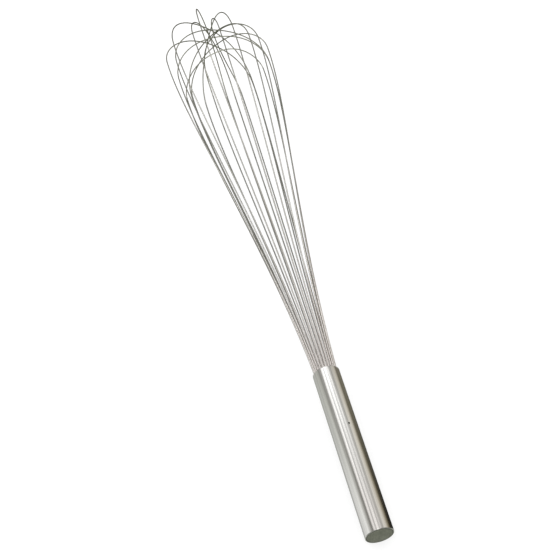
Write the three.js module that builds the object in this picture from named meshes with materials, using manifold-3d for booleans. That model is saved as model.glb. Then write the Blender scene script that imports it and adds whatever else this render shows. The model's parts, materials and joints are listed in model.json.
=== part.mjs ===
// Long balloon whisk (French whip): twelve spring-wire loops in a slim sealed tube handle.
//
// The whisk is built upright in its own frame, with its axis on Z and the handle's butt at z = 0, and is
// then laid on its side as it rests on a table. An azimuth is an angle about the axis. All sizes are mm.

import * as THREE from 'three';
import { mergeVertices } from 'three/addons/utils/BufferGeometryUtils.js';
import Module from 'manifold-3d';

// ---- Driving dimensions ----

const GAP = 0.3; // clearance between pieces that touch on the real whisk

// Handle tube, from the butt at z = 0 to the square-cut mouth where the wires leave
const HANDLE_LENGTH = 151;
const HANDLE_RADIUS = 11.5;
const WALL = 0.8;
const BUTT_ROUND = 0.5;
const MOUTH_ROUND = 0.2;
const HANDLE_SIDES = 48;

// Vent hole in the side of the handle
const VENT_RADIUS = 0.8;
const VENT_HEIGHT = 94;
const VENT_AZIMUTH = 25;

// Wire loops
const WIRE_RADIUS = 0.6;
const WIRE_SIDES = 8;
const RING_RADIUS = 9.3; // the wire ends stand in a ring inside the mouth
const RING_START = 10; // azimuth of the ring's first place
const END_LENGTH = 30; // how far the wires reach into the handle
const BULGE_HEIGHT = 562; // where every leg is furthest from the axis
const LEG_START_PULL = 157; // Bezier pulls that give the leg its slow S-curve
const LEG_FLARE = 0.046;
const LEG_BULGE_PULL = 90;
const SHOULDER_PULL = 0.62; // roundness of the shoulders, as a share of their rise and reach
const END_STEPS = 1;
const LEG_STEPS = 7;
const SHOULDER_STEPS = 14;

// The loops were bent and set by hand, so no two are alike. Each has two legs, given by azimuth and by
// distance from the axis at the bulge, and a crown, the point [x, y, z] where it passes over the top.
const LOOPS = [
  { legs: [[350, 64], [187, 53]], crown: [0, -5, 615] },
  { legs: [[8, 48], [169, 51]], crown: [6, 0, 602.5] },
  { legs: [[26, 47], [212, 59]], crown: [13, 2, 613] },
  { legs: [[53, 43], [236, 52]], crown: [-3, -10, 609] },
  { legs: [[67, 47], [206, 48]], crown: [-3, -5, 609] },
  { legs: [[87, 50], [232, 54]], crown: [-3, 4, 600] },
  { legs: [[107, 50], [295, 51]], crown: [13, -2, 604.5] },
  { legs: [[110, 51], [268, 50]], crown: [0, 0, 606.5] },
  { legs: [[122, 47], [237, 58]], crown: [-6, -1, 589.5] },
  { legs: [[149, 48], [294, 61]], crown: [3, -11, 598.5] },
  { legs: [[144, 42], [317, 63]], crown: [3, -2, 617] },
  { legs: [[178, 54], [337, 54]], crown: [8, -5, 602.5] },
];

// Pieces inside the handle
const CAP_THICKNESS = 1.5;
const CORE_TOP = 147; // the core ends just below the seal
const SEAL_BOTTOM = CORE_TOP + GAP;
const SEAL_TOP = 150.4;
const SEAL_RADIUS = 9.8;
const DAM_THICKNESS = 3;

// How the whisk lies: on two wires and the rim of the butt
const UPPER_SIDE = 7; // azimuth of the side that faces up
const LEAN = 4.45; // rise of the axis towards the balloon, in degrees

// ---- Materials ----

const satinSteel = { color: 0xc4c3bf, roughness: 0.32, metalness: 1 };
const wireSteel = { color: 0xb4b2ab, roughness: 0.28, metalness: 1 };
const capSteel = { color: 0x8c8f86, roughness: 0.45, metalness: 1 };
const epoxy = { color: 0x8f8b80, roughness: 0.6, metalness: 0 };

// ---- Helpers ----

const radians = THREE.MathUtils.degToRad;

function onCircle(radius, azimuth, height) {
  const angle = radians(azimuth);
  return new THREE.Vector3(radius * Math.cos(angle), radius * Math.sin(angle), height);
}

// A solid of revolution about Z from [radius, height] points that run up the outside.
function turned(profile, sides = HANDLE_SIDES) {
  const points = profile.map(([radius, height]) => new THREE.Vector2(radius, height));
  return new THREE.LatheGeometry(points, sides).rotateX(Math.PI / 2);
}

// A quarter-circle edge from an end face at z = 0 to a side.
function roundedEdge(outerRadius, round, steps = 3) {
  return Array.from({ length: steps + 1 }, (_, step) => {
    const angle = (Math.PI / 2) * (step / steps);
    return [outerRadius - round * (1 - Math.sin(angle)), round * (1 - Math.cos(angle))];
  });
}

function disc(radius, bottom, top) {
  return turned([[0, bottom], [radius, bottom], [radius, top], [0, top]]);
}

const wasm = await Module();
wasm.setup();

function toManifold(geometry) {
  const bare = geometry.clone();
  bare.deleteAttribute('normal');
  bare.deleteAttribute('uv');
  const merged = mergeVertices(bare, 1e-4);
  return new wasm.Manifold(new wasm.Mesh({
    numProp: 3,
    vertProperties: new Float32Array(merged.attributes.position.array),
    triVerts: new Uint32Array(merged.index.array),
  }));
}

function toGeometry(solid) {
  const mesh = solid.getMesh();
  const geometry = new THREE.BufferGeometry();
  geometry.setAttribute('position', new THREE.BufferAttribute(mesh.vertProperties, 3));
  geometry.setIndex(new THREE.BufferAttribute(mesh.triVerts, 1));
  geometry.computeVertexNormals();
  return geometry;
}

function cut(geometry, tools) {
  return toGeometry(tools.reduce((solid, tool) => solid.subtract(toManifold(tool)), toManifold(geometry)));
}

// ---- Wire loops ----

// A chain of curves that is stepped piece by piece, so the steps are closer together on the shoulders.
class WirePath extends THREE.Curve {
  constructor(pieces) {
    super();
    this.pieces = pieces;
    this.steps = pieces.reduce((sum, piece) => sum + piece.steps, 0);
  }

  getPoint(t, target = new THREE.Vector3()) {
    let place = t * this.steps;
    for (const { curve, steps } of this.pieces) {
      if (place <= steps) {
        return curve.getPoint(place / steps, target);
      }
      place -= steps;
    }
    return this.pieces.at(-1).curve.getPoint(1, target);
  }

  getUtoTmapping(u) {
    return u;
  }
}

// The legs take the 24 places in the ring in the order of their azimuths at the bulge.
function ringPlaces() {
  const order = LOOPS.flatMap(({ legs }) => legs).sort((a, b) => a[0] - b[0]);
  return new Map(order.map((leg, index) => [leg, RING_START + (360 * index) / order.length]));
}

// From the end inside the handle up one leg and over its shoulder to the crown.
function halfLoop(leg, place, crown, crownDirection) {
  const bulge = onCircle(leg[1], leg[0], BULGE_HEIGHT);
  const foot = onCircle(RING_RADIUS, place, HANDLE_LENGTH);
  const end = onCircle(RING_RADIUS, place, HANDLE_LENGTH - END_LENGTH);
  const start = onCircle(RING_RADIUS + LEG_FLARE * LEG_START_PULL, place, HANDLE_LENGTH + LEG_START_PULL);
  const under = new THREE.Vector3(0, 0, -LEG_BULGE_PULL).add(bulge);
  const over = new THREE.Vector3(0, 0, SHOULDER_PULL * (crown.z - BULGE_HEIGHT)).add(bulge);
  const reach = Math.hypot(crown.x - bulge.x, crown.y - bulge.y);
  const beside = crown.clone().addScaledVector(crownDirection, -SHOULDER_PULL * reach);
  return [
    { curve: new THREE.LineCurve3(end, foot), steps: END_STEPS },
    { curve: new THREE.CubicBezierCurve3(foot, start, under, bulge), steps: LEG_STEPS },
    { curve: new THREE.CubicBezierCurve3(bulge, over, beside, crown), steps: SHOULDER_STEPS },
  ];
}

function reversed({ curve, steps }) {
  const { v0, v1, v2, v3 } = curve;
  const turnedCurve = v3 ? new THREE.CubicBezierCurve3(v3, v2, v1, v0) : new THREE.LineCurve3(v2, v1);
  return { curve: turnedCurve, steps };
}

function wirePath({ legs: [first, second], crown }, places) {
  const top = new THREE.Vector3(...crown);
  const direction = onCircle(second[1], second[0], 0).sub(onCircle(first[1], first[0], 0)).normalize();
  const up = halfLoop(first, places.get(first), top, direction);
  const down = halfLoop(second, places.get(second), top, direction.clone().negate());
  return new WirePath([...up, ...down.reverse().map(reversed)]);
}

function wireGeometry(path) {
  const section = new THREE.Shape();
  for (let side = 0; side < WIRE_SIDES; side += 1) {
    const corner = onCircle(WIRE_RADIUS, (360 * side) / WIRE_SIDES, 0);
    section[side ? 'lineTo' : 'moveTo'](corner.x, corner.y);
  }
  section.closePath();
  return new THREE.ExtrudeGeometry(section, { steps: path.steps, extrudePath: path });
}

// ---- Handle ----

function handleTube() {
  const tube = turned([
    ...roundedEdge(HANDLE_RADIUS, BUTT_ROUND),
    [HANDLE_RADIUS, HANDLE_LENGTH - MOUTH_ROUND],
    [HANDLE_RADIUS - MOUTH_ROUND, HANDLE_LENGTH],
    [HANDLE_RADIUS - WALL, HANDLE_LENGTH],
    [HANDLE_RADIUS - WALL, 0],
    [HANDLE_RADIUS - BUTT_ROUND, 0],
  ]);
  const drill = new THREE.CylinderGeometry(VENT_RADIUS, VENT_RADIUS, 4 * WALL, 12);
  drill.rotateZ(-Math.PI / 2).translate(HANDLE_RADIUS, 0, 0);
  drill.rotateZ(radians(VENT_AZIMUTH)).translate(0, 0, VENT_HEIGHT);
  return cut(tube, [drill]);
}

function endCap() {
  return disc(HANDLE_RADIUS - WALL - GAP, 0, CAP_THICKNESS);
}

// The core fills the middle of the ring of wires.
function wireCore() {
  return disc(RING_RADIUS - WIRE_RADIUS - GAP, HANDLE_LENGTH - END_LENGTH, CORE_TOP);
}

// The epoxy that closes the mouth, with a passage for each wire.
function noseSeal(places) {
  const passages = [...places.values()].map((place) => {
    const { x, y } = onCircle(RING_RADIUS, place, 0);
    const passage = new THREE.CylinderGeometry(WIRE_RADIUS + GAP, WIRE_RADIUS + GAP, 10, WIRE_SIDES);
    return passage.rotateX(Math.PI / 2).translate(x, y, SEAL_BOTTOM);
  });
  return cut(disc(SEAL_RADIUS, SEAL_BOTTOM, SEAL_TOP), passages);
}

// The dam below the wire ends keeps the epoxy out of the rest of the handle while it sets.
function sealDam() {
  const top = HANDLE_LENGTH - END_LENGTH - GAP;
  return disc(HANDLE_RADIUS - WALL - GAP, top - DAM_THICKNESS, top);
}

// ---- Assembly ----

const upright = new THREE.Group();

function addPiece(name, geometry, finish) {
  const mesh = new THREE.Mesh(geometry, new THREE.MeshStandardMaterial(finish));
  mesh.name = name;
  upright.add(mesh);
}

const places = ringPlaces();
LOOPS.forEach((loop, index) => {
  const name = `wire_loop_${String(index + 1).padStart(2, '0')}`;
  addPiece(name, wireGeometry(wirePath(loop, places)), wireSteel);
});
addPiece('handle_tube', handleTube(), satinSteel);
addPiece('end_cap', endCap(), capSteel);
addPiece('nose_seal', noseSeal(places), epoxy);
addPiece('wire_core', wireCore(), satinSteel);
addPiece('seal_dam', sealDam(), epoxy);

// Turn the upper side to -X, then swing the axis down towards +X, so that the upper side faces up.
upright.rotation.z = radians(180 - UPPER_SIDE);
const lying = new THREE.Group();
lying.add(upright);
lying.rotation.y = radians(90 - LEAN);

// The origin is under the middle of the whisk's box, on the table.
const whisk = new THREE.Group();
whisk.add(lying);
whisk.updateMatrixWorld(true);
const box = new THREE.Box3().setFromObject(whisk, true);
const centre = box.getCenter(new THREE.Vector3());
lying.position.set(-centre.x, -centre.y, -box.min.z);

export default whisk;
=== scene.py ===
"""A long balloon whisk that lies on a pale studio floor: twelve spring-wire loops in a slim steel handle.

The pieces are built in the whisk's own frame, with its axis on Z and the butt of the handle at z = 0, and
are then laid down as the CAD model lies. An azimuth is an angle about the axis, in degrees. Sizes are
written in millimetres and turned into metres as the meshes are made.
"""

import json
import math

import bmesh
import bpy
from mathutils import Matrix, Vector


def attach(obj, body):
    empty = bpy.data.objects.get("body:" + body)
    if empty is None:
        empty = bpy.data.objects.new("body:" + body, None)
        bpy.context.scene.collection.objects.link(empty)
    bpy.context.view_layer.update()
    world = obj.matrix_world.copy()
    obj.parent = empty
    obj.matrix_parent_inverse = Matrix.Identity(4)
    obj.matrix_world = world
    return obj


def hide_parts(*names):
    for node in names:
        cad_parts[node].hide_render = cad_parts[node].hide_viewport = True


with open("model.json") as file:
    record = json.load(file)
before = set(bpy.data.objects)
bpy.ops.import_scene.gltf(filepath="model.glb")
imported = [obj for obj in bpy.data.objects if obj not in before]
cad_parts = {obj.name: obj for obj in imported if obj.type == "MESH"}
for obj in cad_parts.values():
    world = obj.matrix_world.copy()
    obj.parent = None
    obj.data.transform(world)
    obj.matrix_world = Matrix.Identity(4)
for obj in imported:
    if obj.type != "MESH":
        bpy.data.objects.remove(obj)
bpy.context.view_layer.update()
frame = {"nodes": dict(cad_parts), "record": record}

MM = 0.001

# ---- Dimensions of the CAD model, unless a line says otherwise ----

HANDLE_LENGTH = 151
HANDLE_RADIUS = 11.5
WALL = 0.8
BUTT_ROUND = 0.5
MOUTH_ROUND = 0.08  # finer than in the CAD model

VENT_RADIUS = 0.8
VENT_HEIGHT = 94
VENT_AZIMUTH = 25
VENT_MARGIN = 3  # from the hole's centre to the rings of points beside it

WIRE_RADIUS = 0.6
RING_RADIUS = 9.3
RING_START = 10
END_LENGTH = 30
BULGE_HEIGHT = 562
LEG_START_PULL = 157
LEG_FLARE = 0.046
LEG_BULGE_PULL = 90
SHOULDER_PULL = 0.62

# Each loop's two legs, as (azimuth, distance from the axis at the bulge), and its crown
LOOPS = [
    (((350, 64), (187, 53)), (0, -5, 615)),
    (((8, 48), (169, 51)), (6, 0, 602.5)),
    (((26, 47), (212, 59)), (13, 2, 613)),
    (((53, 43), (236, 52)), (-3, -10, 609)),
    (((67, 47), (206, 48)), (-3, -5, 609)),
    (((87, 50), (232, 54)), (-3, 4, 600)),
    (((107, 50), (295, 51)), (13, -2, 604.5)),
    (((110, 51), (268, 50)), (0, 0, 606.5)),
    (((122, 47), (237, 58)), (-6, -1, 589.5)),
    (((149, 48), (294, 61)), (3, -11, 598.5)),
    (((144, 42), (317, 63)), (3, -2, 617)),
    (((178, 54), (337, 54)), (8, -5, 602.5)),
]

CAP_RADIUS = 10.4
CAP_THICKNESS = 1.5
SEAL_BOTTOM = 147.3
SEAL_TOP = 150.4

# Only in this scene
CAP_LIFT = 0.02
CAP_ROUND = 0.15
WELD_INSET = 0.25
WELD_HEIGHT = 0.1
WELD_HALF_WIDTH = 0.45
WELD_HALF_HEIGHT = 0.13
WELD_RIPPLES = 110
WELD_RIPPLE_HEIGHT = 0.035
EPOXY_CLIMB_ON_WIRE = 0.5
EPOXY_CLIMB_ON_WALL = 0.25
EPOXY_SLUMP = 0.35

WIRE_SIDES = 12
HANDLE_SIDES = 144
CAP_SIDES = 96
SEAL_SIDES = 288

MERGE_DISTANCE = 0.004 * MM  # closer points left by the boolean cut are joined

UPPER_SIDE = 7  # azimuth of the side that faces up
LEAN = 4.45  # rise of the axis towards the balloon

BUTT = Vector(frame["record"]["mounts"][0]["pos_m"])
LAY = (
    Matrix.Translation(BUTT)
    @ Matrix.Rotation(math.radians(90 - LEAN), 4, "Y")
    @ Matrix.Rotation(math.radians(180 - UPPER_SIDE), 4, "Z")
)
STAND = LAY.inverted()

# ---- Camera ----

LENS = 71.8
CAMERA_FROM_BUTT = Vector((-0.40714, 0.10961, 0.74651))
CAMERA_TURN = (42.704, 5.052, -103.554)

camera_data = bpy.data.cameras.new("camera")
camera_data.lens = LENS
camera_data.sensor_width = 36
camera_data.dof.use_dof = False
camera = bpy.data.objects.new("camera", camera_data)
camera.location = BUTT + CAMERA_FROM_BUTT
camera.rotation_euler = [math.radians(angle) for angle in CAMERA_TURN]
bpy.context.scene.collection.objects.link(camera)
bpy.context.scene.camera = camera


# ---- Node helpers ----


def new_material(name):
    material = bpy.data.materials.new(name)
    material.use_nodes = True
    nodes = material.node_tree.nodes
    return material, nodes, material.node_tree.links, nodes["Principled BSDF"]


def whisk_coordinates(nodes, links, scale):
    """Coordinates in the whisk's own frame, with Z along its axis, stretched by scale."""
    place = nodes.new("ShaderNodeTexCoord")
    upright = nodes.new("ShaderNodeMapping")
    upright.inputs["Location"].default_value = STAND.to_translation()
    upright.inputs["Rotation"].default_value = STAND.to_euler()
    stretch = nodes.new("ShaderNodeMapping")
    stretch.inputs["Scale"].default_value = scale
    links.new(place.outputs["Object"], upright.inputs["Vector"])
    links.new(upright.outputs["Vector"], stretch.inputs["Vector"])
    return stretch.outputs["Vector"]


def noise(nodes, links, vector, scale, detail=3.0):
    texture = nodes.new("ShaderNodeTexNoise")
    texture.inputs["Scale"].default_value = scale
    texture.inputs["Detail"].default_value = detail
    links.new(vector, texture.inputs["Vector"])
    return texture.outputs["Fac"]


def ramp(nodes, links, factor, stops):
    """A colour ramp from (position, grey or colour) stops."""
    node = nodes.new("ShaderNodeValToRGB")
    node.color_ramp.interpolation = "LINEAR"
    elements = node.color_ramp.elements
    while len(elements) < len(stops):
        elements.new(0.5)
    for element, (position, colour) in zip(elements, stops):
        grey = isinstance(colour, (int, float))
        element.position = position
        element.color = (colour, colour, colour, 1) if grey else (*colour, 1)
    links.new(factor, node.inputs["Fac"])
    return node.outputs["Color"]


def multiply(nodes, links, first, second):
    node = nodes.new("ShaderNodeMix")
    node.data_type = "RGBA"
    node.blend_type = "MULTIPLY"
    node.inputs["Factor"].default_value = 1
    links.new(first, node.inputs["A"])
    links.new(second, node.inputs["B"])
    return node.outputs["Result"]


def spread(nodes, links, factor, low, high, start=0.0, end=1.0):
    """Map the stretch from start to end onto low to high."""
    node = nodes.new("ShaderNodeMapRange")
    for name, value in (("From Min", start), ("From Max", end), ("To Min", low), ("To Max", high)):
        node.inputs[name].default_value = value
    links.new(factor, node.inputs["Value"])
    return node.outputs["Result"]


def bump(nodes, links, height, distance):
    node = nodes.new("ShaderNodeBump")
    node.inputs["Strength"].default_value = 1.0
    node.inputs["Distance"].default_value = distance
    links.new(height, node.inputs["Height"])
    return node.outputs["Normal"]


def arithmetic(nodes, links, operation, first, second):
    node = nodes.new("ShaderNodeMath")
    node.operation = operation
    for socket, value in zip(node.inputs, (first, second)):
        if isinstance(value, (int, float)):
            socket.default_value = value
        else:
            links.new(value, socket)
    return node.outputs["Value"]


# ---- Materials ----


def handle_steel():
    """Stainless tube polished lengthwise; the darker lines at set azimuths stand in for reflections."""
    material, nodes, links, surface = new_material("handle_steel")
    separate = nodes.new("ShaderNodeSeparateXYZ")
    links.new(whisk_coordinates(nodes, links, (1, 1, 1)), separate.inputs["Vector"])
    angle = arithmetic(nodes, links, "ARCTAN2", separate.outputs["Y"], separate.outputs["X"])
    turn = spread(nodes, links, angle, 0, 1, -math.pi, math.pi)

    def at(azimuth):
        return azimuth / 360 + 0.5

    lines = ramp(
        nodes,
        links,
        turn,
        [
            (0.0, 1.0),
            (at(-60), 1.0),
            (at(-52), 0.93),
            (at(-44), 1.0),
            (at(-9.5), 1.0),
            (at(-7), 0.54),
            (at(-4.5), 0.54),
            (at(-2), 1.0),
            (at(3.5), 1.0),
            (at(6), 0.58),
            (at(9), 0.62),
            (at(12), 0.98),
            (at(15), 0.96),
            (at(17), 0.84),
            (at(20), 0.98),
            (at(70), 0.97),
            (1.0, 1.0),
        ],
    )
    broad = noise(nodes, links, whisk_coordinates(nodes, links, (1, 1, 0.012)), 620, 4)
    fine = noise(nodes, links, whisk_coordinates(nodes, links, (1, 1, 0.03)), 2600, 4)
    cloud = noise(nodes, links, whisk_coordinates(nodes, links, (1, 1, 0.5)), 60, 3)
    base = ramp(nodes, links, broad, [(0.34, (0.59, 0.585, 0.57)), (0.66, (0.83, 0.825, 0.81))])
    links.new(multiply(nodes, links, base, lines), surface.inputs["Base Color"])
    surface.inputs["Metallic"].default_value = 1
    grain = spread(nodes, links, fine, 0.08, 0.17)
    rough = arithmetic(nodes, links, "ADD", grain, spread(nodes, links, cloud, 0.0, 0.05))
    links.new(rough, surface.inputs["Roughness"])
    links.new(bump(nodes, links, fine, 0.000004), surface.inputs["Normal"])
    return material


def wire_steel():
    """Drawn stainless wire with faint die lines; its tone is painted light and shade, brighter near the
    handle than at the crown.
    """
    material, nodes, links, surface = new_material("wire_steel")
    drawn = noise(nodes, links, whisk_coordinates(nodes, links, (1, 1, 0.01)), 1500, 3)
    dull = noise(nodes, links, whisk_coordinates(nodes, links, (1, 1, 1)), 30, 2)
    separate = nodes.new("ShaderNodeSeparateXYZ")
    links.new(whisk_coordinates(nodes, links, (1, 1, 1)), separate.inputs["Vector"])
    reach = spread(nodes, links, separate.outputs["Z"], 0, 1, 0.150, 0.617)
    # Painted light and shade: the base colour runs lighter near the handle and darker and greener towards
    # the crown.
    painted_light_along_axis = ramp(
        nodes,
        links,
        reach,
        [
            (0.0, (0.80, 0.76, 0.75)),
            (0.12, (0.78, 0.75, 0.74)),
            (0.28, (0.60, 0.59, 0.57)),
            (0.65, (0.56, 0.56, 0.53)),
            (0.88, (0.54, 0.54, 0.50)),
            (0.97, (0.43, 0.44, 0.37)),
        ],
    )
    patches = ramp(nodes, links, dull, [(0.3, (0.88, 0.88, 0.87)), (0.7, 1.0)])
    links.new(multiply(nodes, links, painted_light_along_axis, patches), surface.inputs["Base Color"])
    surface.inputs["Metallic"].default_value = 1
    links.new(spread(nodes, links, drawn, 0.10, 0.18), surface.inputs["Roughness"])
    links.new(bump(nodes, links, drawn, 0.000002), surface.inputs["Normal"])
    return material


def cap_steel():
    """A disc ground flat in one direction after it was welded in."""
    material, nodes, links, surface = new_material("cap_steel")
    grain = noise(nodes, links, whisk_coordinates(nodes, links, (0.06, 1, 1)), 2400, 4)
    shade_and_stain = noise(nodes, links, whisk_coordinates(nodes, links, (1, 1, 1)), 160, 3)
    # Painted shade: the base is darker and greener than the handle's steel, with a random mottle from the
    # noise.
    base = ramp(nodes, links, shade_and_stain, [(0.36, (0.33, 0.34, 0.29)), (0.64, (0.41, 0.42, 0.36))])
    scratches = ramp(nodes, links, grain, [(0.38, 0.72), (0.62, 1.0)])
    links.new(multiply(nodes, links, base, scratches), surface.inputs["Base Color"])
    surface.inputs["Metallic"].default_value = 1
    links.new(spread(nodes, links, grain, 0.34, 0.52), surface.inputs["Roughness"])
    links.new(bump(nodes, links, grain, 0.00001), surface.inputs["Normal"])
    return material


def weld_steel():
    """The seam round the cap: fused metal with fine ripples, darker than the steel beside it."""
    material, nodes, links, surface = new_material("weld_steel")
    ripple = noise(nodes, links, whisk_coordinates(nodes, links, (1, 1, 1)), 1500, 3)
    base = ramp(nodes, links, ripple, [(0.3, (0.05, 0.05, 0.05)), (0.7, (0.11, 0.11, 0.11))])
    links.new(base, surface.inputs["Base Color"])
    surface.inputs["Metallic"].default_value = 1
    links.new(spread(nodes, links, ripple, 0.35, 0.6), surface.inputs["Roughness"])
    links.new(bump(nodes, links, ripple, 0.00002), surface.inputs["Normal"])
    return material


def inner_steel():
    """Plain turned stainless, out of sight in the handle."""
    material, nodes, links, surface = new_material("inner_steel")
    grain = noise(nodes, links, whisk_coordinates(nodes, links, (0.2, 1, 1)), 1800, 3)
    base = ramp(nodes, links, grain, [(0.3, (0.58, 0.57, 0.55)), (0.7, (0.68, 0.67, 0.65))])
    links.new(base, surface.inputs["Base Color"])
    surface.inputs["Metallic"].default_value = 1
    links.new(spread(nodes, links, grain, 0.3, 0.45), surface.inputs["Roughness"])
    return material


def cured_epoxy():
    """Grey epoxy with a slight orange-peel skin."""
    material, nodes, links, surface = new_material("cured_epoxy")
    cloud = noise(nodes, links, whisk_coordinates(nodes, links, (1, 1, 1)), 220, 4)
    skin = noise(nodes, links, whisk_coordinates(nodes, links, (1, 1, 1)), 1400, 2)
    base = ramp(nodes, links, cloud, [(0.3, (0.30, 0.285, 0.25)), (0.7, (0.42, 0.40, 0.36))])
    links.new(base, surface.inputs["Base Color"])
    links.new(spread(nodes, links, skin, 0.42, 0.6), surface.inputs["Roughness"])
    links.new(bump(nodes, links, skin, 0.00004), surface.inputs["Normal"])
    return material


HANDLE_STEEL = handle_steel()
WIRE_STEEL = wire_steel()
CAP_STEEL = cap_steel()
WELD_STEEL = weld_steel()
INNER_STEEL = inner_steel()
EPOXY = cured_epoxy()


# ---- Mesh helpers ----


def on_circle(radius, azimuth, height):
    angle = math.radians(azimuth)
    return Vector((radius * math.cos(angle), radius * math.sin(angle), height))


def add_piece(name, vertices, faces, material, slot, smooth_below=40):
    """A mesh from points in millimetres in the whisk's frame, laid down with the whisk."""
    mesh = bpy.data.meshes.new(name)
    mesh.from_pydata([LAY @ (Vector(vertex) * MM) for vertex in vertices], [], faces)
    mesh.update()
    mesh.materials.append(material)
    shape = bmesh.new()
    shape.from_mesh(mesh)
    bmesh.ops.remove_doubles(shape, verts=shape.verts, dist=1e-7)
    bmesh.ops.recalc_face_normals(shape, faces=shape.faces)
    shape.to_mesh(mesh)
    shape.free()
    mesh.shade_smooth()
    mesh.set_sharp_from_angle(angle=math.radians(smooth_below))
    piece = bpy.data.objects.new(name, mesh)
    bpy.context.scene.collection.objects.link(piece)
    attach(piece, "root")
    return piece


def turned(profile, sides):
    """Points and faces of a closed profile of (radius, height) turned about the axis."""
    vertices = []
    for side in range(sides):
        angle = 2 * math.pi * side / sides
        vertices += [(r * math.cos(angle), r * math.sin(angle), z) for r, z in profile]
    count = len(profile)
    faces = []
    for side in range(sides):
        here, there = side * count, (side + 1) % sides * count
        for step in range(count):
            after = (step + 1) % count
            faces.append((here + step, there + step, there + after, here + after))
    return vertices, faces


def arc(centre, radius, start, end, steps):
    """Profile points on part of a circle, with angles in degrees from the outward direction."""
    points = []
    for step in range(steps + 1):
        angle = math.radians(start + (end - start) * step / steps)
        points.append((centre[0] + radius * math.cos(angle), centre[1] + radius * math.sin(angle)))
    return points


# ---- Wire loops ----


def bezier(p0, p1, p2, p3, t):
    s = 1 - t
    return s * s * s * p0 + 3 * s * s * t * p1 + 3 * s * t * t * p2 + t * t * t * p3


def ring_places():
    """The legs take the 24 places in the ring in the order of their azimuths at the bulge."""
    order = sorted((leg for legs, _ in LOOPS for leg in legs), key=lambda leg: leg[0])
    return {leg: RING_START + 360 * index / len(order) for index, leg in enumerate(order)}


def half_loop(leg, place, crown, direction):
    """Points from the end inside the handle up one leg and over its shoulder to the crown."""
    azimuth, reach = leg
    bulge = on_circle(reach, azimuth, BULGE_HEIGHT)
    foot = on_circle(RING_RADIUS, place, HANDLE_LENGTH)
    end = on_circle(RING_RADIUS, place, HANDLE_LENGTH - END_LENGTH)
    start = on_circle(RING_RADIUS + LEG_FLARE * LEG_START_PULL, place, HANDLE_LENGTH + LEG_START_PULL)
    under = bulge - Vector((0, 0, LEG_BULGE_PULL))
    over = bulge + Vector((0, 0, SHOULDER_PULL * (crown.z - BULGE_HEIGHT)))
    beside = crown - direction * SHOULDER_PULL * (crown - bulge).xy.length
    leg_steps, shoulder_steps = 90, 80
    points = [end]
    points += [bezier(foot, start, under, bulge, step / leg_steps) for step in range(leg_steps)]
    points += [
        bezier(bulge, over, beside, crown, step / shoulder_steps) for step in range(shoulder_steps + 1)
    ]
    return points


def wire_points(legs, crown, places):
    top = Vector(crown)
    direction = on_circle(legs[1][1], legs[1][0], 0) - on_circle(legs[0][1], legs[0][0], 0)
    direction.normalize()
    up = half_loop(legs[0], places[legs[0]], top, direction)
    down = half_loop(legs[1], places[legs[1]], top, -direction)
    return up + down[-2::-1]


def tube(points, radius, sides):
    """A round tube along the points, with its section carried along without twist, and closed ends."""
    vertices, faces = [], []
    side_way = Vector((0, 0, 1)).cross(points[1] - points[0])
    if side_way.length < 1e-6:
        side_way = Vector((1, 0, 0))
    for index, point in enumerate(points):
        before = points[max(index - 1, 0)]
        after = points[min(index + 1, len(points) - 1)]
        along = (after - before).normalized()
        side_way = (side_way - along * side_way.dot(along)).normalized()
        other_way = along.cross(side_way)
        for side in range(sides):
            angle = 2 * math.pi * side / sides
            vertices.append(point + radius * (side_way * math.cos(angle) + other_way * math.sin(angle)))
    for index in range(len(points) - 1):
        here, there = index * sides, (index + 1) * sides
        for side in range(sides):
            after = (side + 1) % sides
            faces.append((here + side, here + after, there + after, there + side))
    last = (len(points) - 1) * sides
    faces.append(tuple(range(sides))[::-1])
    faces.append(tuple(range(last, last + sides)))
    return vertices, faces


PLACES = ring_places()
for index, (legs, crown) in enumerate(LOOPS):
    name = f"wire_loop_{index + 1:02d}"
    vertices, faces = tube(wire_points(legs, crown, PLACES), WIRE_RADIUS, WIRE_SIDES)
    wire = add_piece(f"wire_{index + 1:02d}", vertices, faces, WIRE_STEEL, "wire")
    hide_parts(name)


# ---- Handle ----


def handle_profile():
    """The tube's wall: up the outside from the rounded butt edge to the mouth, and down the inside."""
    inner = HANDLE_RADIUS - WALL
    profile = arc((HANDLE_RADIUS - BUTT_ROUND, BUTT_ROUND), BUTT_ROUND, -90, 0, 8)
    heights = [0.65, 2, 6, 14, 26, 40, 55, 70, 85]
    heights += [VENT_HEIGHT - VENT_MARGIN, VENT_HEIGHT + VENT_MARGIN, 104, 120, 136, 147, 150.7]
    profile += [(HANDLE_RADIUS, height) for height in heights]
    edge = HANDLE_LENGTH - MOUTH_ROUND
    profile += arc((HANDLE_RADIUS - MOUTH_ROUND, edge), MOUTH_ROUND, 0, 90, 4)
    profile += arc((inner + MOUTH_ROUND, edge), MOUTH_ROUND, 90, 180, 4)
    profile += [(inner, 140), (inner, VENT_HEIGHT + VENT_MARGIN), (inner, VENT_HEIGHT - VENT_MARGIN)]
    profile += [(inner, 0.05)]
    return profile


vertices, faces = turned(handle_profile(), HANDLE_SIDES)
handle = add_piece("handle", vertices, faces, HANDLE_STEEL, "handle", smooth_below=35)
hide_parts("handle_tube")

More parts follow.
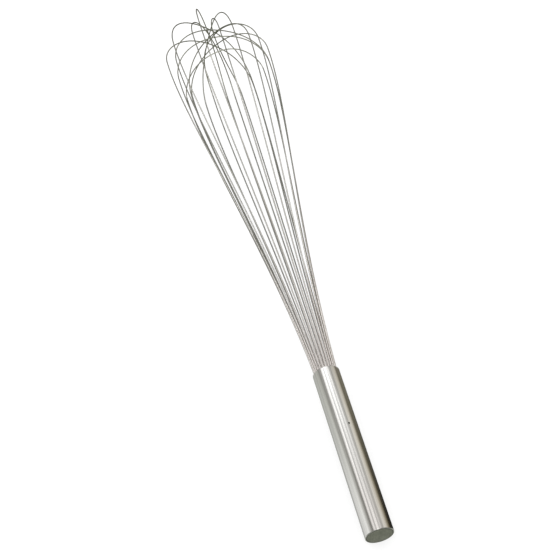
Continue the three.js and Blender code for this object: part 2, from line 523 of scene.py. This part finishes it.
# The vent hole is drilled through one wall.
drill_mesh = bpy.data.meshes.new("drill")
drill_shape = bmesh.new()
bmesh.ops.create_cone(
    drill_shape,
    cap_ends=True,
    segments=32,
    radius1=VENT_RADIUS * MM,
    radius2=VENT_RADIUS * MM,
    depth=4 * WALL * MM,
)
drill_shape.to_mesh(drill_mesh)
drill_shape.free()
drill = bpy.data.objects.new("drill", drill_mesh)
bpy.context.scene.collection.objects.link(drill)
drill.matrix_world = (
    LAY
    @ Matrix.Rotation(math.radians(VENT_AZIMUTH), 4, "Z")
    @ Matrix.Translation((HANDLE_RADIUS * MM, 0, VENT_HEIGHT * MM))
    @ Matrix.Rotation(math.radians(90), 4, "Y")
)
bpy.context.view_layer.update()
cutter = handle.modifiers.new("vent", "BOOLEAN")
cutter.operation = "DIFFERENCE"
cutter.solver = "EXACT"
cutter.object = drill
bored = bpy.data.meshes.new_from_object(handle.evaluated_get(bpy.context.evaluated_depsgraph_get()))
handle.modifiers.clear()
tidied = bmesh.new()
tidied.from_mesh(bored)
bmesh.ops.remove_doubles(tidied, verts=tidied.verts, dist=MERGE_DISTANCE)
bmesh.ops.dissolve_degenerate(tidied, edges=tidied.edges, dist=MERGE_DISTANCE)
tidied.to_mesh(bored)
tidied.free()
handle.data = bored
handle.data.shade_smooth()
handle.data.set_sharp_from_angle(angle=math.radians(35))
bpy.data.objects.remove(drill)

# ---- End cap and its weld ----

cap_edge = arc((CAP_RADIUS - CAP_ROUND, CAP_LIFT + CAP_ROUND), CAP_ROUND, -90, 0, 4)
cap_profile = [(0, CAP_LIFT), *cap_edge, (CAP_RADIUS, CAP_THICKNESS), (0, CAP_THICKNESS)]
vertices, faces = turned(cap_profile, CAP_SIDES)
cap = add_piece("cap", vertices, faces, CAP_STEEL, "cap")
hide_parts("end_cap")


def weld_bead():
    """A low bead between the cap and the tube, with the ripples of hand welding."""
    vertices, faces = [], []
    rounds, sides = 360, 10
    for turn in range(rounds):
        angle = 2 * math.pi * turn / rounds
        ripple = WELD_RIPPLE_HEIGHT * abs(math.sin(turn * math.pi * WELD_RIPPLES / rounds))
        wander = 0.04 * math.sin(3 * angle + 0.6) + 0.02 * math.sin(7 * angle)
        for side in range(sides):
            around = 2 * math.pi * side / sides
            radius = HANDLE_RADIUS - WALL - WELD_INSET + wander + WELD_HALF_WIDTH * math.cos(around)
            height = WELD_HEIGHT + ripple + WELD_HALF_HEIGHT * math.sin(around)
            vertices.append((radius * math.cos(angle), radius * math.sin(angle), height))
    for turn in range(rounds):
        here, there = turn * sides, (turn + 1) % rounds * sides
        for side in range(sides):
            after = (side + 1) % sides
            faces.append((here + side, there + side, there + after, here + after))
    return vertices, faces


weld = add_piece("weld", *weld_bead(), WELD_STEEL, "cap", smooth_below=60)

# ---- Epoxy in the mouth ----


def seal_surface():
    """The epoxy fills the mouth and climbs a little up each wire and up the tube's wall."""
    feet = [on_circle(RING_RADIUS, place, 0) for place in PLACES.values()]
    rings = [0.6, 2, 4, 6, 7.2, 7.8] + [8.1 + 0.2 * step for step in range(14)]
    outer = HANDLE_RADIUS - WALL
    sides = SEAL_SIDES
    vertices, faces = [], []
    for radius in rings:
        for side in range(sides):
            point = on_circle(radius, 360 * side / sides, 0)
            nearest = min((point - foot).length for foot in feet)
            climb = EPOXY_CLIMB_ON_WIRE * math.exp(-max(nearest - WIRE_RADIUS, 0) / 0.35)
            wall = EPOXY_CLIMB_ON_WALL * math.exp(-max(outer - radius, 0) / 0.3)
            slump = -EPOXY_SLUMP * (1 - min(radius / 8, 1) ** 2)
            vertices.append((point.x, point.y, SEAL_TOP - EPOXY_CLIMB_ON_WIRE + slump + max(climb, wall)))
    for ring in range(len(rings) - 1):
        for side in range(sides):
            after = (side + 1) % sides
            here, there = ring * sides, (ring + 1) * sides
            faces.append((here + side, there + side, there + after, here + after))
    # Close the middle and the underside
    faces.append(tuple(range(sides))[::-1])
    rim = (len(rings) - 1) * sides
    base = len(vertices)
    for side in range(sides):
        point = on_circle(rings[-1], 360 * side / sides, SEAL_BOTTOM)
        vertices.append(tuple(point))
    for side in range(sides):
        after = (side + 1) % sides
        faces.append((rim + side, base + side, base + after, rim + after))
    faces.append(tuple(base + side for side in range(sides)))
    return vertices, faces


seal = add_piece("seal", *seal_surface(), EPOXY, "seal", smooth_below=60)
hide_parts("nose_seal")

# The pieces inside the handle stay as the CAD model has them.
for node, material in (("wire_core", INNER_STEEL), ("seal_dam", EPOXY)):
    for slot in frame["nodes"][node].material_slots:
        slot.material = material

# ---- Floor ----

FLOOR_HALF_WIDTH = 6.0  # metres
FLOOR_GLOW = 0.68


def studio_floor():
    mesh = bpy.data.meshes.new("floor")
    half = FLOOR_HALF_WIDTH
    corners = [(-half, -half, 0), (half, -half, 0), (half, half, 0), (-half, half, 0)]
    mesh.from_pydata(corners, [], [(0, 1, 2, 3)])
    material, nodes, links, surface = new_material("floor")
    cloud = noise(nodes, links, whisk_coordinates(nodes, links, (1, 1, 1)), 2, 2)
    links.new(ramp(nodes, links, cloud, [(0.3, 0.27), (0.7, 0.29)]), surface.inputs["Base Color"])
    surface.inputs["Roughness"].default_value = 0.9
    surface.inputs["Emission Color"].default_value = (1, 1, 1, 1)
    surface.inputs["Emission Strength"].default_value = FLOOR_GLOW
    mesh.materials.append(material)
    floor = bpy.data.objects.new("floor", mesh)
    bpy.context.scene.collection.objects.link(floor)
    floor.visible_glossy = False


studio_floor()

# ---- Light ----

SKY = 1.28  # the even light that everything but a mirror reflection sees

# What the polished steel reflects, as bands about the room's X axis: the angle runs from -180 to 180,
# with 0 overhead. A long softbox hangs over the whisk between a pale wall and a warm one. The bands
# change along the whisk's axis, and each set blends into the next one over a stretch of the
# direction's share of that axis.
BEHIND = [
    (-180, (0.44, 0.46, 0.40)),
    (-140, (0.38, 0.39, 0.35)),
    (-105, (0.12, 0.12, 0.11)),
    (-60, (0.26, 0.26, 0.25)),
    (-30, (0.30, 0.30, 0.29)),
    (-22, (1.20, 1.19, 1.16)),
    (12, (1.20, 1.18, 1.14)),
    (20, (0.30, 0.29, 0.28)),
    (60, (0.26, 0.25, 0.23)),
    (105, (0.10, 0.10, 0.08)),
    (140, (0.32, 0.33, 0.29)),
    (180, (0.44, 0.46, 0.40)),
]
ABEAM = [
    (-180, (0.48, 0.49, 0.45)),
    (-112, (0.56, 0.57, 0.53)),
    (-98, (0.16, 0.16, 0.14)),
    (-78, (0.30, 0.30, 0.28)),
    (-44, (0.42, 0.42, 0.40)),
    (-31, (0.26, 0.26, 0.25)),
    (-24, (1.45, 1.44, 1.41)),
    (14, (1.45, 1.43, 1.39)),
    (21, (0.26, 0.26, 0.24)),
    (48, (0.46, 0.45, 0.41)),
    (78, (0.30, 0.29, 0.25)),
    (98, (0.12, 0.11, 0.09)),
    (112, (0.50, 0.50, 0.45)),
    (180, (0.48, 0.49, 0.45)),
]
NEAR = [
    (-180, (0.40, 0.41, 0.38)),
    (-150, (0.50, 0.50, 0.49)),
    (-122, (0.82, 0.82, 0.80)),
    (-106, (1.08, 1.08, 1.06)),
    (-84, (1.02, 1.02, 1.00)),
    (-65, (0.74, 0.73, 0.70)),
    (-52, (0.38, 0.37, 0.34)),
    (-41, (0.17, 0.16, 0.14)),
    (-34, (0.80, 0.76, 0.73)),
    (-28, (1.12, 1.06, 1.03)),
    (19, (1.06, 1.01, 0.97)),
    (26, (0.68, 0.65, 0.62)),
    (34, (0.44, 0.42, 0.39)),
    (48, (0.94, 0.90, 0.83)),
    (57, (1.00, 0.95, 0.85)),
    (66, (0.66, 0.60, 0.51)),
    (82, (0.32, 0.28, 0.20)),
    (93, (0.11, 0.09, 0.05)),
    (100, (0.015, 0.01, 0.005)),
    (150, (0.01, 0.01, 0.01)),
    (180, (0.40, 0.41, 0.38)),
]
MIDDLE = [
    (-180, (0.40, 0.41, 0.38)),
    (-150, (0.50, 0.51, 0.47)),
    (-120, (0.56, 0.57, 0.54)),
    (-100, (0.73, 0.75, 0.69)),
    (-89, (0.61, 0.62, 0.56)),
    (-78, (0.47, 0.48, 0.43)),
    (-43, (0.36, 0.36, 0.34)),
    (-36, (1.46, 1.47, 1.45)),
    (-8, (1.34, 1.38, 1.38)),
    (19, (1.38, 1.40, 1.38)),
    (27, (0.86, 0.87, 0.85)),
    (34, (0.42, 0.43, 0.40)),
    (42, (0.52, 0.51, 0.47)),
    (57, (0.88, 0.85, 0.75)),
    (66, (0.76, 0.72, 0.61)),
    (85, (0.24, 0.22, 0.16)),
    (95, (0.16, 0.15, 0.10)),
    (118, (0.27, 0.25, 0.19)),
    (145, (0.12, 0.11, 0.08)),
    (180, (0.40, 0.41, 0.38)),
]
BEYOND = [
    (-180, (0.32, 0.30, 0.29)),
    (-60, (0.46, 0.43, 0.42)),
    (-32, (0.62, 0.58, 0.57)),
    (-24, (3.80, 3.72, 3.70)),
    (12, (3.80, 3.72, 3.70)),
    (20, (0.62, 0.58, 0.56)),
    (60, (0.46, 0.42, 0.41)),
    (180, (0.32, 0.29, 0.28)),
]
FAR_END = [
    (-180, (0.17, 0.17, 0.15)),
    (-100, (0.20, 0.20, 0.18)),
    (-60, (0.22, 0.22, 0.20)),
    (-28, (0.36, 0.36, 0.34)),
    (-20, (0.90, 0.90, 0.87)),
    (10, (0.90, 0.89, 0.86)),
    (18, (0.36, 0.36, 0.33)),
    (60, (0.22, 0.22, 0.19)),
    (100, (0.14, 0.14, 0.12)),
    (180, (0.17, 0.17, 0.14)),
]
ALONG = [  # bands, and the stretch over which they come in
    (ABEAM, -0.35, -0.25),
    (NEAR, 0.28, 0.37),
    (MIDDLE, 0.42, 0.53),
    (BEYOND, 0.545, 0.56),
    (FAR_END, 0.575, 0.645),
]


def studio_world():
    world = bpy.data.worlds.new("studio")
    world.use_nodes = True
    nodes, links = world.node_tree.nodes, world.node_tree.links
    background = nodes["Background"]
    place = nodes.new("ShaderNodeTexCoord")
    separate = nodes.new("ShaderNodeSeparateXYZ")
    links.new(place.outputs["Generated"], separate.inputs["Vector"])
    right = arithmetic(nodes, links, "MULTIPLY", separate.outputs["Y"], -1)
    angle = arithmetic(nodes, links, "ARCTAN2", right, separate.outputs["Z"])
    turn = spread(nodes, links, angle, 0, 1, -math.pi, math.pi)

    def bands(table):
        return ramp(nodes, links, turn, [(degrees / 360 + 0.5, colour) for degrees, colour in table])

    def blend(factor, first, second):
        mix = nodes.new("ShaderNodeMix")
        mix.data_type = "RGBA"
        links.new(factor, mix.inputs["Factor"])
        for socket, colour in (("A", first), ("B", second)):
            if isinstance(colour, float):
                mix.inputs[socket].default_value = (colour, colour, colour, 1)
            else:
                links.new(colour, mix.inputs[socket])
        return mix.outputs["Result"]

    share = nodes.new("ShaderNodeVectorMath")
    share.operation = "DOT_PRODUCT"
    share.inputs[1].default_value = LAY.to_3x3() @ Vector((0, 0, 1))
    links.new(place.outputs["Generated"], share.inputs[0])
    lit = bands(BEHIND)
    for table, start, end in ALONG:
        lit = blend(spread(nodes, links, share.outputs["Value"], 0, 1, start, end), lit, bands(table))
    rays = nodes.new("ShaderNodeLightPath")
    shown = blend(rays.outputs["Is Glossy Ray"], SKY, lit)
    links.new(shown, background.inputs["Color"])
    background.inputs["Strength"].default_value = 1.0
    bpy.context.scene.world = world


def soft_light(name, location, aim, size, power):
    data = bpy.data.lights.new(name, "AREA")
    data.shape = "RECTANGLE"
    data.size, data.size_y = size
    data.energy = power
    light = bpy.data.objects.new(name, data)
    bpy.context.scene.collection.objects.link(light)
    light.location = location
    light.rotation_euler = (Vector(aim) - Vector(location)).to_track_quat("-Z", "Y").to_euler()
    light.visible_glossy = False


studio_world()
soft_light("softbox", (0.1, 0.5, 1.8), (0, 0, 0), (2.2, 1.4), 14)

bpy.context.scene.view_settings.view_transform = "Standard"
bpy.context.scene.view_settings.look = "None"
